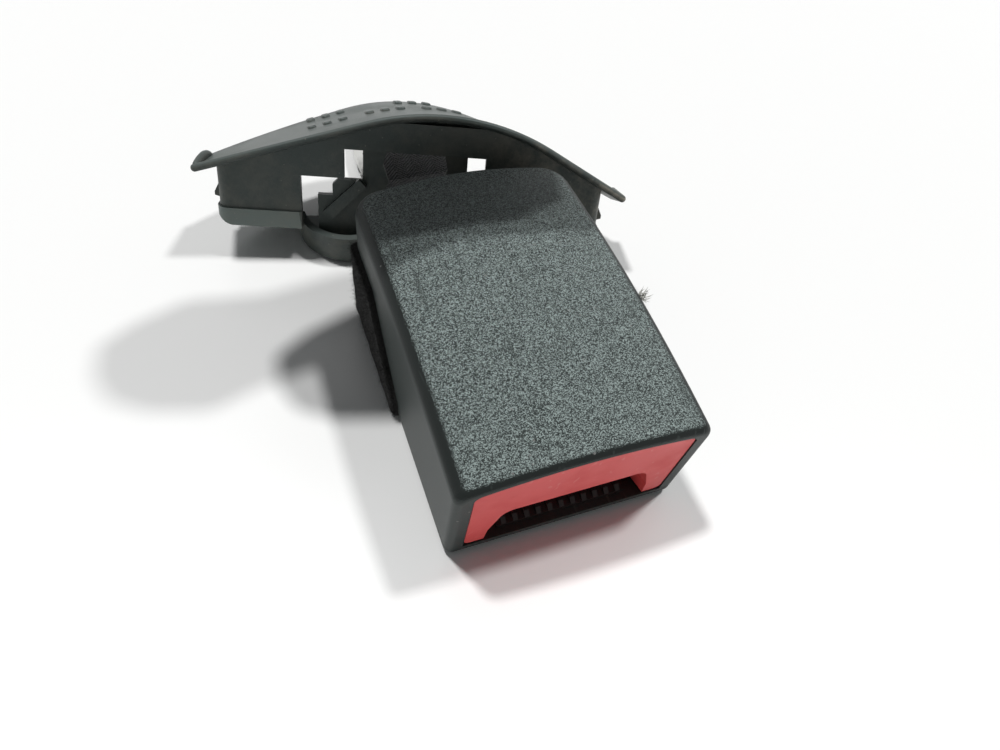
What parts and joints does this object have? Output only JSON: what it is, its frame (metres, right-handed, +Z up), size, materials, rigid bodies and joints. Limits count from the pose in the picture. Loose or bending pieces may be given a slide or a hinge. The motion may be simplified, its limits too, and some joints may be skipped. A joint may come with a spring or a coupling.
{
  "type": "seat belt buckle",
  "caption": "Automotive seat belt buckle with an end-release button, latch mechanism, short webbing stalk, arched trim bezel and anchor plate.",
  "frame": {"origin": "middle of the head's flat bottom face", "axes": "+X across the head, +Y from the tongue slot back along the stalk, +Z up from the flat bottom"},
  "size_m": [0.0907, 0.1298, 0.0328],
  "materials": {
    "cover_black": "fine grained black moulding, satin on the sides",
    "button_red": "smooth dark red moulding",
    "zinc_steel": "zinc plated pressed sheet",
    "bright_steel": "turned and polished",
    "hardened_steel": "fine blanked and hardened",
    "nylon_natural": "unfilled nylon",
    "nylon_black": "black acetal",
    "guide_brown": "dark brown ribbed moulding",
    "spring_wire": "drawn spring wire",
    "webbing_black": "woven polyester webbing",
    "stitch_thread": "heavy polyester thread",
    "anchor_steel": "zinc plated and passivated",
    "trim_black": "satin black moulding",
    "guide_black": "satin black moulding with dust scuffs",
    "felt_black": "needled felt"
  },
  "bodies": {
    "head": {"upper_cover": "cover_black", "lower_cover": "cover_black", "base_frame": "zinc_steel", "strap_bar": "bright_steel", "latch_pivot_pin": "bright_steel", "spring_bridge": "nylon_natural", "tongue_guide": "guide_brown", "felt_strip_left": "felt_black", "felt_strip_right": "felt_black", "button_spring_left": "spring_wire", "button_spring_right": "spring_wire", "latch_spring": "spring_wire", "ejector_spring": "spring_wire"},
    "button": {"release_button": "button_red"},
    "lock": {"lock_slider": "nylon_natural", "lock_pin": "bright_steel"},
    "latch": {"latch_plate": "hardened_steel"},
    "ejector_slide": {"ejector": "nylon_black"},
    "stalk": {"webbing_strap": "webbing_black", "strap_stitching": "stitch_thread"},
    "trim": {"trim_bezel": "trim_black", "strap_guide": "guide_black"},
    "anchor": {"anchor_plate": "anchor_steel"}
  },
  "joints": [
    {"name": "button_press", "type": "slide", "parent": "head", "child": "button", "axis": [0, 1, 0], "range_m": [0, 0.005], "stiffness_N_per_m": 600, "springref_m": -0.004},
    {"name": "lock_slide", "type": "slide", "parent": "head", "child": "lock", "axis": [0, 1, 0], "range_m": [0, 0.005], "deforming": ["button_spring_left", "button_spring_right"]},
    {"name": "ejector_travel", "type": "slide", "parent": "head", "child": "ejector_slide", "axis": [0, 1, 0], "range_m": [0, 0.011], "stiffness_N_per_m": 250, "springref_m": -0.006, "deforming": ["ejector_spring"]},
    {"name": "latch_swing", "type": "hinge", "parent": "head", "child": "latch", "pos_m": [0, 0.009, 0.0145], "axis": [1, 0, 0], "range_deg": [0, 12.1], "deforming": ["latch_spring"]},
    {"name": "stalk_swing", "type": "hinge", "parent": "head", "child": "stalk", "pos_m": [0, 0.0265, 0.012], "axis": [1, 0, 0], "range_deg": [-8, 25]},
    {"name": "trim_slide", "type": "slide", "parent": "stalk", "child": "trim", "axis": [0, 1, 0], "range_m": [0, 0.005]},
    {"name": "anchor_swing", "type": "hinge", "parent": "stalk", "child": "anchor", "pos_m": [0, 0.0708, 0.0046], "axis": [1, 0, 0], "range_deg": [-15, 35]}
  ],
  "couplings": [
    {"joint": "lock_slide", "follows": "button_press", "ratio": 1},
    {"joint": "latch_swing", "follows": "ejector_travel", "rad_per_m": 19.04}
  ]
}
